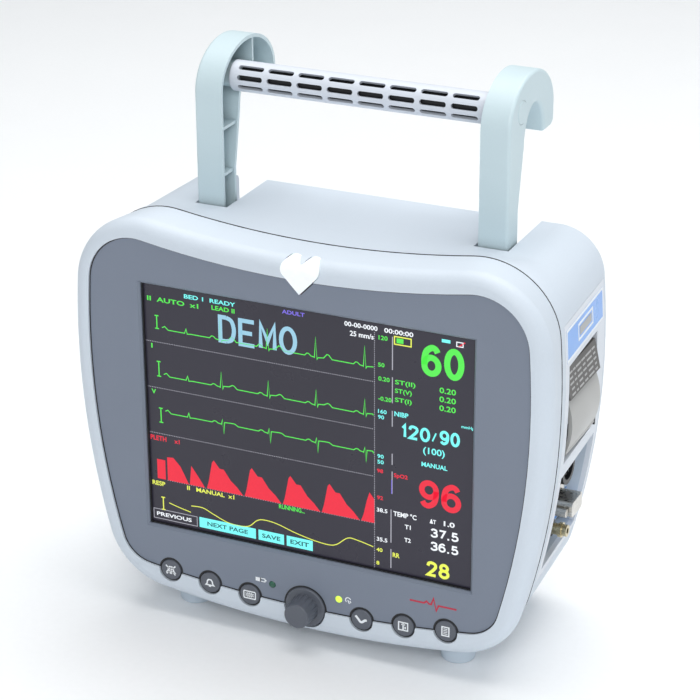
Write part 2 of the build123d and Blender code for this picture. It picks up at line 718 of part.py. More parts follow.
def make_socket_tray():
    """The recessed tray that carries the patient-lead sockets, following the side wall."""
    outside = side_skin(WALL, SOCKET_DEPTH + 2, shrink(SOCKET_Y, -2), shrink(SOCKET_Z, -2))
    tray = outside - side_skin(WALL, SOCKET_DEPTH, shrink(SOCKET_Y, 0.5), shrink(SOCKET_Z, 0.5))
    tray -= socket_rod(ECG_PLACE, 11.0, -6, 8)
    tray -= socket_rod(PRESSURE_PLACE, 7.0, -6, 8)
    for place in TEMP_PLACES:
        tray -= socket_rod(place, 5.5, -6, 8)
    floor_x = wall_x(*SPO2_PLACE) - SOCKET_DEPTH
    return tray - along_x(Pos(*SPO2_PLACE) * RectangleRounded(31, 12.5, 1.5), floor_x - 6, floor_x + 8)


def make_spo2_socket():
    """A metal-shelled D-shaped socket with a standing screw at each end."""
    y, z = SPO2_PLACE
    floor_x = wall_x(y, z) - SOCKET_DEPTH
    socket = along_x(Pos(y, z) * RectangleRounded(31, 12.5, 1.5), floor_x - 5, floor_x + 2)
    socket += along_x(Pos(y, z) * RectangleRounded(18, 9.5, 2.5), floor_x, floor_x + 16)
    for side in (-1, 1):
        socket += rod_x(y + side * 12.4, z, 2.6, floor_x, floor_x + 14)
    return socket


def make_ecg_socket():
    """A round multi-pin socket."""
    y, z = ECG_PLACE
    socket = socket_rod(ECG_PLACE, 11.0, -5, 4) - socket_rod(ECG_PLACE, 8.0, 0, 4)
    for index in range(6):
        angle = radians(60 * index)
        pin_place = (y + 4.5 * cos(angle), z + 4.5 * sin(angle))
        floor_x = wall_x(y, z) - SOCKET_DEPTH
        socket += rod_x(*pin_place, 0.8, floor_x, floor_x + 3)
    return socket


def make_pressure_port():
    """The stepped metal nipple that the cuff hose pushes on to."""
    port = socket_rod(PRESSURE_PLACE, 7.0, -4, 3)
    port += socket_rod(PRESSURE_PLACE, 3.6, 0, 15)
    port += socket_rod(PRESSURE_PLACE, 4.6, 10, 12)
    return port - socket_rod(PRESSURE_PLACE, 1.8, -4, 15)


def make_temp_sockets():
    return Compound(
        [socket_rod(place, 5.5, -4, 3) - socket_rod(place, 3.2, 0, 3) for place in TEMP_PLACES]
    )


# ---------------------------------------------------------------- feet and screws


def make_feet():
    """Four tapered feet, cut to the curve of the casing's underside."""
    under = front_block(0, FRONT_Y, PARTING_Y) + rear_form(0, PARTING_Y, BACK_Y)
    feet = []
    for x in (-FOOT_X, FOOT_X):
        for y in (FOOT_FRONT_Y, FOOT_REAR_Y):
            cone = Cone(FOOT_LOW_RADIUS, FOOT_TOP_RADIUS, FOOT_CONE_HEIGHT)
            cone = Pos(x, y, FOOT_CONE_HEIGHT / 2) * cone
            cone = fillet(cone.faces().sort_by(Axis.Z)[0].edges(), 1.2)
            feet.append((cone - under).solids().sort_by(Axis.Z)[0])
    return Compound(feet)


def make_casing_screws():
    screws = []
    for x, z in SCREW_PLACES:
        screw = rod_y(x, z, SCREW_RADIUS, 20, SCREW_HEAD_Y)
        head = rod_y(x, z, 3.5, SCREW_HEAD_Y, SCREW_HEAD_Y + 2.6)
        drive = back_rectangle((x, z), 4.2, 1.0, SCREW_HEAD_Y + 1.2, SCREW_HEAD_Y + 2.6)
        drive += back_rectangle((x, z), 1.0, 4.2, SCREW_HEAD_Y + 1.2, SCREW_HEAD_Y + 2.6)
        screws.append((screw + head - drive).solids()[0])
    return Compound(screws)


# ---------------------------------------------------------------- inside


def make_chassis():
    """A sheet-metal plate behind the display, with a shelf and pressed-in board spacers."""
    plate = block((-104, CHASSIS_Y, 52), (104, CHASSIS_Y + CHASSIS_THICKNESS, 226))
    shelf = block((-74, CHASSIS_Y, 52), (74, 110, 53.2))
    spacers = [rod_y(x, z, 3.0, CHASSIS_Y, MAIN_BOARD_Y) for x in (-64, 64) for z in (68, 200)]
    return plate + shelf + spacers


def make_main_board():
    return block((-70, MAIN_BOARD_Y, 62), (70, MAIN_BOARD_Y + BOARD_THICKNESS, 206))


def make_power_supply():
    return block((-72, 60, 20), (-4, 100, 52))


def make_battery_pack():
    return block((-73, 70, 70), (-24, 112, 128))


def make_battery_door():
    (low_x, low_z), (high_x, high_z) = BATTERY_DOOR
    gap = SIDE_GAP
    door = block((low_x + gap, BACK_Y - WALL, low_z + gap), (high_x - gap, BACK_Y, high_z - gap))
    recess = along_y(Pos((low_x + high_x) / 2, high_z - 10) * SlotOverall(22, 7), BACK_Y - 1.4, BACK_Y)
    return door - recess


def make_pressure_pump():
    body = rod_y(20, 75, 14, 40, 84)
    return body + rod_y(20, 75, 3, 84, 92)


def make_pressure_valve():
    return block((42, 44, 56), (62, 78, 82))


def make_speaker():
    x, z = SPEAKER_PLACE
    front = BACK_Y - WALL
    speaker = rod_y(x, z, 20, front - 3, front)
    return speaker + rod_y(x, z, 11, front - 16, front - 3)


def make_mains_inlet():
    """The three-pin appliance inlet, with its collar and earth pin."""
    x, z = INLET_PLACE
    inside = BACK_Y - WALL
    body = back_rectangle(INLET_PLACE, 27, 20, inside - 15, BACK_Y)
    body += back_rectangle(INLET_PLACE, 31, 24, BACK_Y, BACK_Y + 1.6)
    body -= along_y(Pos(x, z) * RectangleRounded(24, 16.5, 2), BACK_Y - 14, BACK_Y + 1.6)
    for pin_x, pin_z in ((-7, -1.5), (0, 1.5), (7, -1.5)):
        body += back_rectangle((x + pin_x, z + pin_z), 2, 4, BACK_Y - 14, BACK_Y - 1)
    return body


def make_fuse_holders():
    inside = BACK_Y - WALL
    holders = []
    for x, z in FUSE_PLACES:
        holder = rod_y(x, z, 5.0, inside - 12, BACK_Y) + rod_y(x, z, 6.2, BACK_Y, BACK_Y + 4)
        slot = back_rectangle((x, z), 8, 1.2, BACK_Y + 2.8, BACK_Y + 4)
        holders.append((holder - slot).solids()[0])
    return Compound(holders)


def make_power_switch():
    """The switch's housing, open at the back for the rocker."""
    inside = BACK_Y - WALL
    housing = back_rectangle(SWITCH_PLACE, 19, 13, inside - 12, BACK_Y)
    housing += back_rectangle(SWITCH_PLACE, 22, 16, BACK_Y, BACK_Y + 1.4)
    housing -= back_rectangle(SWITCH_PLACE, 16, 10.4, inside - 6, BACK_Y + 1.4)
    x, z = SWITCH_PLACE
    pin = along_x(Pos(ROCKER_AXIS_Y, z) * Circle(1.0), x - 9, x + 9)
    return housing - pin.intersect(back_rectangle(SWITCH_PLACE, 19, 13, inside, BACK_Y + 1.4))


def make_power_rocker():
    """The rocker, which stands tipped towards its lower end when the monitor is on."""
    x, z = SWITCH_PLACE
    profile = make_face(
        Polyline(
            (ROCKER_AXIS_Y + 1.6, z),
            (ROCKER_AXIS_Y + 3.3, z + 4.1),
            (ROCKER_AXIS_Y - 2.0, z + 4.6),
            (ROCKER_AXIS_Y - 3.2, z),
            (ROCKER_AXIS_Y - 2.6, z - 4.2),
            (ROCKER_AXIS_Y + 0.4, z - 4.9),
            close=True,
        )
    )
    rocker = along_x(profile, x - 7.6, x + 7.6)
    axle = rod_x(ROCKER_AXIS_Y, z, 0.95, x - 8.9, x + 8.9)
    return rocker + axle


def make_ground_stud():
    """The equipotential pin: a standard 6 mm pin behind a hexagonal collar."""
    x, z = STUD_PLACE
    stud = rod_y(x, z, 3.0, BACK_Y - WALL - 6, BACK_Y + 14)
    collar = along_y(Pos(x, z) * RegularPolygon(6.0, 6), BACK_Y, BACK_Y + 3)
    return stud + collar


def make_network_socket():
    socket = back_rectangle(NETWORK_PLACE, 16, 13.2, BACK_Y - WALL - 14, BACK_Y + 0.6)
    return socket - back_rectangle(NETWORK_PLACE, 12, 8, BACK_Y - 12, BACK_Y + 0.6)


# ---------------------------------------------------------------- assembly


def make_all():
    post = make_post()
    rail = make_handle_rail()
    cap = make_post_cap()
    parts = {
        "front_casing": make_front_casing(),
        "fascia_panel": make_fascia_panel(),
        "display_bezel": make_display_bezel(),
        "display_glass": make_display_glass(),
        "display_module": make_display_module(),
        "alarm_lamp": make_alarm_lamp(),
        "key_board": make_key_board(),
        "knob": make_knob(),
        "encoder_shaft": make_encoder_shaft(),
        "encoder_plunger": make_encoder_plunger(),
        "encoder_body": make_encoder_body(),
        "lamp_battery": make_lamp(-1),
        "lamp_mains": make_lamp(1),
        "handle_post_right": post,
        "handle_post_left": mirror(post, Plane.YZ),
        "handle_grip": make_grip(),
        "grip_tie_rod": make_grip_tie_rod(),
        "post_cap_right": cap,
        "post_cap_left": mirror(cap, Plane.YZ),
        "handle_rail_right": rail,
        "handle_rail_left": mirror(rail, Plane.YZ),
        "rear_casing": make_rear_casing(),
        "side_panel": make_side_panel(),
        "side_label": make_side_label(),
        "recorder_frame": make_recorder_frame(),
        "recorder_top": make_recorder_top(),
        "recorder_door": make_recorder_door(),
        "recorder_hinge_pin": make_recorder_hinge_pin(),
        "recorder_roller": make_recorder_roller(),
        "paper_roll": make_paper_roll(),
        "paper_spool": make_paper_spool(),
        "thermal_head": make_thermal_head(),
        "recorder_motor": make_recorder_motor(),
        "socket_tray": make_socket_tray(),
        "spo2_socket": make_spo2_socket(),
        "ecg_socket": make_ecg_socket(),
        "pressure_port": make_pressure_port(),
        "temp_sockets": make_temp_sockets(),
        "feet": make_feet(),
        "casing_screws": make_casing_screws(),
        "chassis": make_chassis(),
        "main_board": make_main_board(),
        "power_supply": make_power_supply(),
        "battery_pack": make_battery_pack(),
        "battery_door": make_battery_door(),
        "pressure_pump": make_pressure_pump(),
        "pressure_valve": make_pressure_valve(),
        "speaker": make_speaker(),
        "mains_inlet": make_mains_inlet(),
        "fuse_holders": make_fuse_holders(),
        "power_switch": make_power_switch(),
        "power_rocker": make_power_rocker(),
        "ground_stud": make_ground_stud(),
        "network_socket": make_network_socket(),
    }
    for name, (x, z) in KEY_PLACES.items():
        parts[name] = make_key(x, z)
    return parts


parts = make_all()
boxes = [shape.bounding_box() for shape in parts.values()]
depth_middle = (min(box.min.Y for box in boxes) + max(box.max.Y for box in boxes)) / 2

os.makedirs("parts", exist_ok=True)
for name, shape in parts.items():
    export_step(Pos(0, -depth_middle, 0) * shape, f"parts/{name}.step")
print("y of the panel face", round(-depth_middle, 3))
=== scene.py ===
"""Portable patient monitor: materials, printed and lit marks, lights and camera around the CAD frame."""

import json
from math import cos, pi, radians, sin

import bmesh
import bpy
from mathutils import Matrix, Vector


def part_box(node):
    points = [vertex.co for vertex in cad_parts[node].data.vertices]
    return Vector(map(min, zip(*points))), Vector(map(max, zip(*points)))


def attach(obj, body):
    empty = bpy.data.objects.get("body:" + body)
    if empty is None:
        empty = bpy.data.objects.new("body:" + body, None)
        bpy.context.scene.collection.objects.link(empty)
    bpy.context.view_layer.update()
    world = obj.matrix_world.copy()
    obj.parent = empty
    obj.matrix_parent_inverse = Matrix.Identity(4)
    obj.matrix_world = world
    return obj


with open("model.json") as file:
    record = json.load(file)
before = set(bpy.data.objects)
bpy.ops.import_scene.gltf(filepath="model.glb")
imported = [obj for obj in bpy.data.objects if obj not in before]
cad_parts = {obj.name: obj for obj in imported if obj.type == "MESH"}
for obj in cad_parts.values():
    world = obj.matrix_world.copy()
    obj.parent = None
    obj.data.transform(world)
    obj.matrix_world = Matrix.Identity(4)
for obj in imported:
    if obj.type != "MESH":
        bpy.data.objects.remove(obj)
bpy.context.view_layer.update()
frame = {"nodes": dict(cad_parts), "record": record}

MM = 0.001
PANEL_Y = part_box("fascia_panel")[0].y
GLASS_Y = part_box("display_glass")[0].y
KEYS = ["key_mute", "key_alarm", "key_freeze", "key_pressure", "key_leads", "key_report"]

# ---------------------------------------------------------------- camera and studio


def make_camera():
    camera = bpy.data.objects.new("camera", bpy.data.cameras.new("camera"))
    bpy.context.scene.collection.objects.link(camera)
    camera.location = (0.54214, -1.17389, 0.73259)
    camera.rotation_euler = (1.160873, 0.002831, 0.425653)
    camera.data.sensor_width = 36.0
    camera.data.lens = 121.355
    camera.data.shift_x = -0.01339
    camera.data.shift_y = -0.00093
    camera.data.clip_start = 0.05
    camera.data.clip_end = 60.0
    bpy.context.scene.camera = camera


def make_area_light(name, place, target, size, power, colour):
    data = bpy.data.lights.new(name, "AREA")
    data.shape = "DISK"
    data.size = size
    data.energy = power
    data.color = colour
    light = bpy.data.objects.new(name, data)
    bpy.context.scene.collection.objects.link(light)
    light.location = place
    light.rotation_euler = (Vector(target) - Vector(place)).to_track_quat("-Z", "Y").to_euler()


def make_world():
    """An even pale room, a little brighter on the right than on the left."""
    world = bpy.data.worlds.new("studio")
    bpy.context.scene.world = world
    world.use_nodes = True
    nodes = world.node_tree.nodes
    links = world.node_tree.links
    direction = nodes.new("ShaderNodeTexCoord")
    split = nodes.new("ShaderNodeSeparateXYZ")
    links.new(direction.outputs["Generated"], split.inputs["Vector"])
    across = nodes.new("ShaderNodeMapRange")
    across.inputs["From Min"].default_value = -1.0
    across.inputs["From Max"].default_value = 1.0
    across.inputs["To Min"].default_value = 0.37
    across.inputs["To Max"].default_value = 0.55
    links.new(split.outputs["X"], across.inputs["Value"])
    background = nodes["Background"]
    background.inputs["Color"].default_value = (0.93, 0.97, 1.0, 1.0)
    links.new(across.outputs["Result"], background.inputs["Strength"])


def make_lights():
    make_area_light("overhead", (0.1, 0.35, 2.2), (0, 0, 0.1), 2.4, 43, (1.0, 0.99, 0.98))
    make_area_light("front", (1.0, -2.4, 1.7), (0, 0, 0.12), 1.6, 27, (1.0, 1.0, 1.0))
    make_area_light("right", (2.6, 0.4, 1.0), (0, 0, 0.15), 1.4, 3, (0.95, 0.98, 1.0))


def make_floor():
    reach = 14.0
    mesh = bpy.data.meshes.new("floor")
    corners = [(-reach, -reach, 0), (reach, -reach, 0), (reach, reach, 0), (-reach, reach, 0)]
    mesh.from_pydata(corners, [], [(0, 1, 2, 3)])
    floor = bpy.data.objects.new("floor", mesh)
    bpy.context.scene.collection.objects.link(floor)
    floor.data.materials.append(
        moulded("studio_floor", (0.93, 0.94, 0.95), 0.65, grain=400, depth=0.00002, cloud=0.004)
    )


# ---------------------------------------------------------------- materials


class Surface:
    """A node material around one Principled shader, in object coordinates."""

    def __init__(self, name):
        self.material = bpy.data.materials.new(name)
        self.material.use_nodes = True
        self.nodes = self.material.node_tree.nodes
        self.links = self.material.node_tree.links
        self.shader = self.nodes["Principled BSDF"]
        self.place = self.nodes.new("ShaderNodeTexCoord").outputs["Object"]

    def set(self, **values):
        for name, value in values.items():
            self.shader.inputs[name.replace("_", " ")].default_value = value

    def stretched(self, scale):
        """The coordinates, stretched by a factor along each axis."""
        mapping = self.nodes.new("ShaderNodeMapping")
        mapping.inputs["Scale"].default_value = scale
        self.links.new(self.place, mapping.inputs["Vector"])
        return mapping.outputs["Vector"]

    def noise(self, scale, detail=3.0, place=None):
        noise = self.nodes.new("ShaderNodeTexNoise")
        noise.inputs["Scale"].default_value = scale
        noise.inputs["Detail"].default_value = detail
        self.links.new(place or self.place, noise.inputs["Vector"])
        return noise.outputs["Fac"]

    def spread(self, value, low, high, source_low=0.3, source_high=0.7):
        """A value from a texture, spread between low and high."""
        node = self.nodes.new("ShaderNodeMapRange")
        node.inputs["From Min"].default_value = source_low
        node.inputs["From Max"].default_value = source_high
        node.inputs["To Min"].default_value = low
        node.inputs["To Max"].default_value = high
        self.links.new(value, node.inputs["Value"])
        return node.outputs["Result"]

    def mix(self, factor, first, second):
        node = self.nodes.new("ShaderNodeMix")
        node.data_type = "RGBA"
        for socket, colour in ((node.inputs["A"], first), (node.inputs["B"], second)):
            if isinstance(colour, bpy.types.NodeSocket):
                self.links.new(colour, socket)
            else:
                socket.default_value = (*colour[:3], 1.0)
        self.links.new(factor, node.inputs["Factor"])
        return node.outputs["Result"]

    def edge_band(self, radius):
        """1 on convex and concave edges narrower than the radius, 0 on flat faces."""
        bevel = self.nodes.new("ShaderNodeBevel")
        bevel.samples = 4
        bevel.inputs["Radius"].default_value = radius
        geometry = self.nodes.new("ShaderNodeNewGeometry")
        dot = self.nodes.new("ShaderNodeVectorMath")
        dot.operation = "DOT_PRODUCT"
        self.links.new(bevel.outputs["Normal"], dot.inputs[0])
        self.links.new(geometry.outputs["Normal"], dot.inputs[1])
        return self.spread(dot.outputs["Value"], 1.0, 0.0, 0.80, 0.995)

    def cavity(self, reach):
        """1 deep inside pockets and slots, 0 in the open."""
        openness = self.nodes.new("ShaderNodeAmbientOcclusion")
        openness.samples = 6
        openness.inputs["Distance"].default_value = reach
        return self.spread(openness.outputs["AO"], 1.0, 0.0, 0.25, 0.75)

    def bump(self, height, depth):
        node = self.nodes.new("ShaderNodeBump")
        node.inputs["Distance"].default_value = depth
        self.links.new(height, node.inputs["Height"])
        self.links.new(node.outputs["Normal"], self.shader.inputs["Normal"])

    def feed(self, name, value):
        self.links.new(value, self.shader.inputs[name])


def shade(colour, factor):
    return tuple(min(1.0, channel * factor) for channel in colour)


def moulded(name, colour, roughness, grain=900, depth=0.00003, cloud=0.02, edge_highlight=0.0, pocket_shade=0.0):
    """Moulded plastic: a fine grain, slow colour drift, uneven gloss, a painted highlight along edges and
    painted shade in pockets.
    """
    surface = Surface(name)
    drift = surface.noise(11.0, 2.0)
    tone = surface.mix(surface.spread(drift, 0, 1), shade(colour, 1 - cloud), shade(colour, 1 + cloud))
    speck = surface.noise(grain * 0.6, 1.0)
    tone = surface.mix(surface.spread(speck, 0, 0.10), tone, shade(colour, 0.88))
    # Painted highlight: edges are lightened as if light caught them.
    if edge_highlight:
        edge = surface.edge_band(0.0006)
        tone = surface.mix(surface.spread(edge, 0, edge_highlight, 0, 1), tone, shade(colour, 1.35))
    # Painted shade: pockets, slots and seams are darkened where less light reaches them.
    if pocket_shade:
        deep = surface.cavity(0.012)
        tone = surface.mix(surface.spread(deep, 0, pocket_shade, 0, 1), tone, shade(colour, 0.35))
    surface.feed("Base Color", tone)
    uneven = surface.noise(38.0, 4.0)
    surface.feed("Roughness", surface.spread(uneven, roughness - 0.05, roughness + 0.05))
    surface.bump(surface.noise(grain, 2.0), depth)
    return surface.material


def metal(name, colour, roughness, stretch=(1, 1, 12), scale=420):
    """Plated or drawn metal with fine lines along one axis and a few dull spots."""
    surface = Surface(name)
    surface.set(Metallic=1.0)
    lines = surface.noise(scale, 3.0, surface.stretched(stretch))
    dull = surface.noise(90.0, 2.0)
    tone = surface.mix(surface.spread(dull, 0, 1), shade(colour, 0.86), colour)
    surface.feed("Base Color", tone)
    surface.feed("Roughness", surface.spread(lines, roughness - 0.08, roughness + 0.1))
    surface.bump(lines, 0.00001)
    return surface.material


def screen_glass():
    """The anti-glare front of the display, dark grey when lit without a picture."""
    surface = Surface("screen_glass")
    surface.set(IOR=1.45, Emission_Strength=1.0)
    patches = surface.noise(5.0, 1.0)
    surface.feed("Base Color", surface.mix(patches, (0.012, 0.012, 0.016), (0.018, 0.018, 0.024)))
    glow = surface.mix(surface.spread(patches, 0, 1), (0.012, 0.010, 0.019), (0.016, 0.014, 0.026))
    surface.feed("Emission Color", glow)
    surface.feed("Roughness", surface.spread(surface.noise(60.0), 0.26, 0.34))
    surface.bump(surface.noise(2600.0, 1.0), 0.000004)
    return surface.material


def lit(name, colour, strength=1.0):
    """Light from the display, with the faint cell pattern of a panel."""
    surface = Surface(name)
    surface.set(IOR=1.45, Emission_Strength=strength)
    surface.feed("Base Color", surface.mix(surface.noise(900.0, 1.0), shade(colour, 0.1), shade(colour, 0.2)))
    cells = surface.noise(1800.0, 1.0)
    glow = surface.mix(surface.spread(cells, 0, 0.25), colour, shade(colour, 0.8))
    surface.feed("Emission Color", glow)
    surface.feed("Roughness", surface.spread(surface.noise(60.0), 0.28, 0.36))
    return surface.material


def lens(name, colour, glow, strength):
    """A translucent moulded lens over a lamp."""
    surface = Surface(name)
    surface.set(IOR=1.5, Emission_Strength=strength, Subsurface_Weight=0.25, Subsurface_Scale=0.002)
    milk = surface.noise(160.0, 3.0)
    surface.feed("Base Color", surface.mix(surface.spread(milk, 0, 1), shade(colour, 0.96), colour))
    surface.feed("Emission Color", surface.mix(surface.spread(milk, 0, 1), shade(glow, 0.9), glow))
    surface.feed("Roughness", surface.spread(surface.noise(40.0), 0.18, 0.26))
    surface.bump(surface.noise(700.0, 1.0), 0.000006)
    return surface.material


def circuit_board():
    """Green solder mask over copper tracks, with bare pads."""
    surface = Surface("circuit_board")
    tracks = surface.nodes.new("ShaderNodeTexBrick")
    tracks.inputs["Scale"].default_value = 90.0
    tracks.inputs["Mortar Size"].default_value = 0.03
    tracks.inputs["Color1"].default_value = (0.010, 0.120, 0.050, 1)
    tracks.inputs["Color2"].default_value = (0.014, 0.150, 0.060, 1)
    tracks.inputs["Mortar"].default_value = (0.030, 0.240, 0.100, 1)
    surface.links.new(surface.stretched((1, 0, 1)), tracks.inputs["Vector"])
    pads = surface.nodes.new("ShaderNodeTexVoronoi")
    pads.inputs["Scale"].default_value = 170.0
    surface.links.new(surface.place, pads.inputs["Vector"])
    pad = surface.spread(pads.outputs["Distance"], 1.0, 0.0, 0.10, 0.16)
    surface.feed("Base Color", surface.mix(pad, tracks.outputs["Color"], (0.72, 0.62, 0.34)))
    surface.feed("Roughness", surface.spread(surface.noise(50.0), 0.25, 0.4))
    surface.bump(tracks.outputs["Fac"], 0.00004)
    return surface.material


def paper():
    """Recording paper with fine fibres along one axis."""
    surface = Surface("paper")
    fibres = surface.noise(700.0, 6.0, surface.stretched((1, 4, 1)))
    tone = surface.mix(surface.spread(fibres, 0, 1), (0.80, 0.79, 0.76), (0.90, 0.90, 0.88))
    surface.feed("Base Color", tone)
    surface.feed("Roughness", surface.spread(fibres, 0.75, 0.9))
    surface.bump(fibres, 0.00003)
    return surface.material


MINT = (0.560, 0.680, 0.720)
MATERIALS = {
    # Most mouldings here are lightened along their edges, a painted highlight.
    "casing": moulded("casing", (0.605, 0.668, 0.740), 0.50, grain=1100, depth=0.00004, edge_highlight=0.10),
    "side_white": moulded("side_white", (0.690, 0.730, 0.790), 0.46, grain=1100, edge_highlight=0.10),
    "foot_plastic": moulded("foot_plastic", (0.560, 0.640, 0.720), 0.60, grain=700, cloud=0.03),
    "grey_panel": moulded("grey_panel", (0.185, 0.215, 0.275), 0.44, grain=1300, edge_highlight=0.12),
    "black_plastic": moulded("black_plastic", (0.012, 0.012, 0.014), 0.42, grain=1000, edge_highlight=0.03),
    "screen_glass": screen_glass(),
    "module_metal": metal("module_metal", (0.50, 0.51, 0.53), 0.38),
    "lamp_white": lens("lamp_white", (0.90, 0.93, 0.95), (0.9, 0.95, 1.0), 0.12),
    "circuit_board": circuit_board(),
    "key_plastic": moulded("key_plastic", (0.100, 0.111, 0.136), 0.40, grain=1400, edge_highlight=0.25),
    "bright_metal": metal("bright_metal", (0.66, 0.64, 0.60), 0.30),
    "lamp_dark_green": lens("lamp_dark_green", (0.020, 0.090, 0.060), (0.01, 0.10, 0.05), 0.15),
    "lamp_lit_green": lens("lamp_lit_green", (0.50, 0.80, 0.05), (0.62, 0.90, 0.10), 0.85),
    # handle_mint and grip_plastic are darkened in their pockets and slots, painted shade.
    "handle_mint": moulded("handle_mint", MINT, 0.42, grain=1200, cloud=0.015, edge_highlight=0.08, pocket_shade=0.75),
    "grip_plastic": moulded("grip_plastic", (0.640, 0.680, 0.750), 0.42, grain=1200, edge_highlight=0.08, pocket_shade=0.5),
    "rail_plastic": moulded("rail_plastic", (0.42, 0.44, 0.47), 0.5, grain=800, cloud=0.03),
    "label_blue": moulded("label_blue", (0.180, 0.390, 0.830), 0.30, grain=1500, depth=0.00001, cloud=0.04),
    "recorder_grey": moulded("recorder_grey", (0.110, 0.106, 0.102), 0.50, grain=1000, edge_highlight=0.10),
    "door_grey": moulded("door_grey", (0.410, 0.410, 0.400), 0.34, grain=1200, cloud=0.03, edge_highlight=0.10),
    "roller_rubber": moulded("roller_rubber", (0.016, 0.016, 0.017), 0.75, grain=600, cloud=0.05),
    "paper": paper(),
    "tray_plastic": moulded("tray_plastic", (0.500, 0.570, 0.650), 0.48, grain=1100, edge_highlight=0.08),
    "brass_metal": metal("brass_metal", (0.64, 0.56, 0.36), 0.28),
    "screw_metal": metal("screw_metal", (0.40, 0.41, 0.43), 0.36, stretch=(1, 12, 1)),
}
PRINT_WHITE = moulded("print_white", (0.84, 0.87, 0.90), 0.5, grain=1600, depth=0.00001)
PRINT_RED = moulded("print_red", (0.50, 0.020, 0.055), 0.45, grain=1600, depth=0.00001)
PRINT_PALE = moulded("print_pale", (0.42, 0.42, 0.42), 0.5, grain=1600, depth=0.00001)


def finish_nodes():
    """Every CAD node takes the material of its slot in the record."""
    for row in frame["record"]["subparts"]:
        node = frame["nodes"][row["node"]]
        node.data.materials.clear()
        node.data.materials.append(MATERIALS[row["material_slot"]])


# ---------------------------------------------------------------- printed and lit marks

# Corners closer than this, in metres, are one corner.
SAME_SPOT = 1e-8
# In large lettering, the width of a 1 and of the gap after a letter, as shares of a letter's width.
NARROW_ONE = 0.55
GAP_SHARE = 0.12


def full_turn(corners):
    """Evenly spaced angles once round a circle."""
    return [2 * pi * index / corners for index in range(corners)]


def rectangle(left, low, right, high):
    """The corners of an upright rectangle, anticlockwise."""
    return [(left, low), (right, low), (right, high), (left, high)]


def finished_piece(name, solid, body, material):
    """A gathered mesh as one piece of the model, riding on a body."""
    bmesh.ops.recalc_face_normals(solid, faces=solid.faces)
    mesh = bpy.data.meshes.new(name)
    solid.to_mesh(mesh)
    solid.free()
    mesh.materials.append(material)
    made = bpy.data.objects.new(name, mesh)
    bpy.context.scene.collection.objects.link(made)
    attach(made, body)


class Ink:
    """Thin solid marks on one surface, gathered into one mesh.

    place(u, v, height) turns millimetres on the surface into a point in metres.
    """

    def __init__(self, place, thickness=0.05):
        self.place = place
        self.thickness = thickness
        self.mesh = bmesh.new()

    def slab(self, outline):
        """A filled outline, given anticlockwise as the mark is looked at."""
        top = [self.mesh.verts.new(self.place(u, v, self.thickness)) for u, v in outline]
        low = [self.mesh.verts.new(self.place(u, v, 0.0)) for u, v in outline]
        self.mesh.faces.new(top)
        self.mesh.faces.new(low[::-1])
        for index in range(len(outline)):
            after = (index + 1) % len(outline)
            self.mesh.faces.new((top[index], low[index], low[after], top[after]))

    def bar(self, left, low, width, height):
        self.slab(rectangle(left, low, left + width, low + height))

    def outline(self, left, low, right, high, width):
        """A line of even width round a rectangle."""
        self.stroke(rectangle(left, low, right, high), width, closed=True)

    def stroke(self, points, width, closed=False):
        """A line of even width through the points, mitred at its bends."""
        line = [Vector(point) for point in points]
        count = len(line)
        sides = []
        for index, point in enumerate(line):
            before = line[index - 1] if index or closed else None
            after = line[(index + 1) % count] if index < count - 1 or closed else None
            incoming = (point - before).normalized() if before else (after - point).normalized()
            outgoing = (after - point).normalized() if after else incoming
            middle = (incoming + outgoing).normalized() if (incoming + outgoing).length > 0.05 else outgoing
            normal = Vector((-middle.y, middle.x))
            straight = Vector((-incoming.y, incoming.x))
            reach = width / 2 / max(0.45, normal.dot(straight))
            sides.append((point + normal * reach, point - normal * reach))
        rows = [
            [
                self.mesh.verts.new(self.place(*left, self.thickness)),
                self.mesh.verts.new(self.place(*right, self.thickness)),
                self.mesh.verts.new(self.place(*right, 0.0)),
                self.mesh.verts.new(self.place(*left, 0.0)),
            ]
            for left, right in sides
        ]
        for index in range(count if closed else count - 1):
            here = rows[index]
            there = rows[(index + 1) % count]
            for side in range(4):
                after = (side + 1) % 4
                self.mesh.faces.new((here[side], here[after], there[after], there[side]))
        if not closed:
            self.mesh.faces.new(rows[0][::-1])
            self.mesh.faces.new(rows[-1])

    def text(self, words, left, low, width, height, weight=0.022):
        """Lettering that fills the given width and height from its left and low corner."""
        curve = bpy.data.curves.new("lettering", "FONT")
        curve.body = words
        curve.offset = weight
        curve.extrude = 0.5
        curve.resolution_u = 3
        holder = bpy.data.objects.new("lettering", curve)
        solid = bpy.data.meshes.new_from_object(holder)
        across = [vertex.co.x for vertex in solid.vertices]
        up = [vertex.co.y for vertex in solid.vertices]
        wide = width / (max(across) - min(across))
        tall = height / (max(up) - min(up))
        for vertex in solid.vertices:
            u = left + (vertex.co.x - min(across)) * wide
            v = low + (vertex.co.y - min(up)) * tall
            vertex.co = self.place(u, v, (vertex.co.z + 0.5) * self.thickness)
        self.mesh.from_mesh(solid)
        bpy.data.objects.remove(holder)
        bpy.data.curves.remove(curve)
        bpy.data.meshes.remove(solid)

    def bold(self, words, left, low, width, height, weight=0.19):
        """Large lettering in thick strokes, each letter in a cell of its own."""
        shares = [NARROW_ONE if letter == "1" else 1.0 for letter in words]
        gap = GAP_SHARE * width / sum(shares)
        cell = (width + gap) / sum(shares) - gap
        thick = weight * height
        for letter, share in zip(words, shares):
            wide = cell * share
            for line, closed in LETTER_STROKES[letter]:
                spots = [
                    (left + thick / 2 + x * (wide - thick), low + thick / 2 + y * (height - thick))
                    for x, y in line
                ]
                self.stroke(spots, thick, closed)
            left += wide + gap

    def piece(self, name, body, slot, material):
        """The gathered marks as one finished piece."""
        bmesh.ops.remove_doubles(self.mesh, verts=self.mesh.verts, dist=SAME_SPOT)
        finished_piece(name, self.mesh, body, material)


def on_front(y):
    """Marks on an upright surface that faces the front at a given y in metres, u across and v up."""
    return lambda u, v, height: Vector((u * MM, y - height * MM, v * MM))


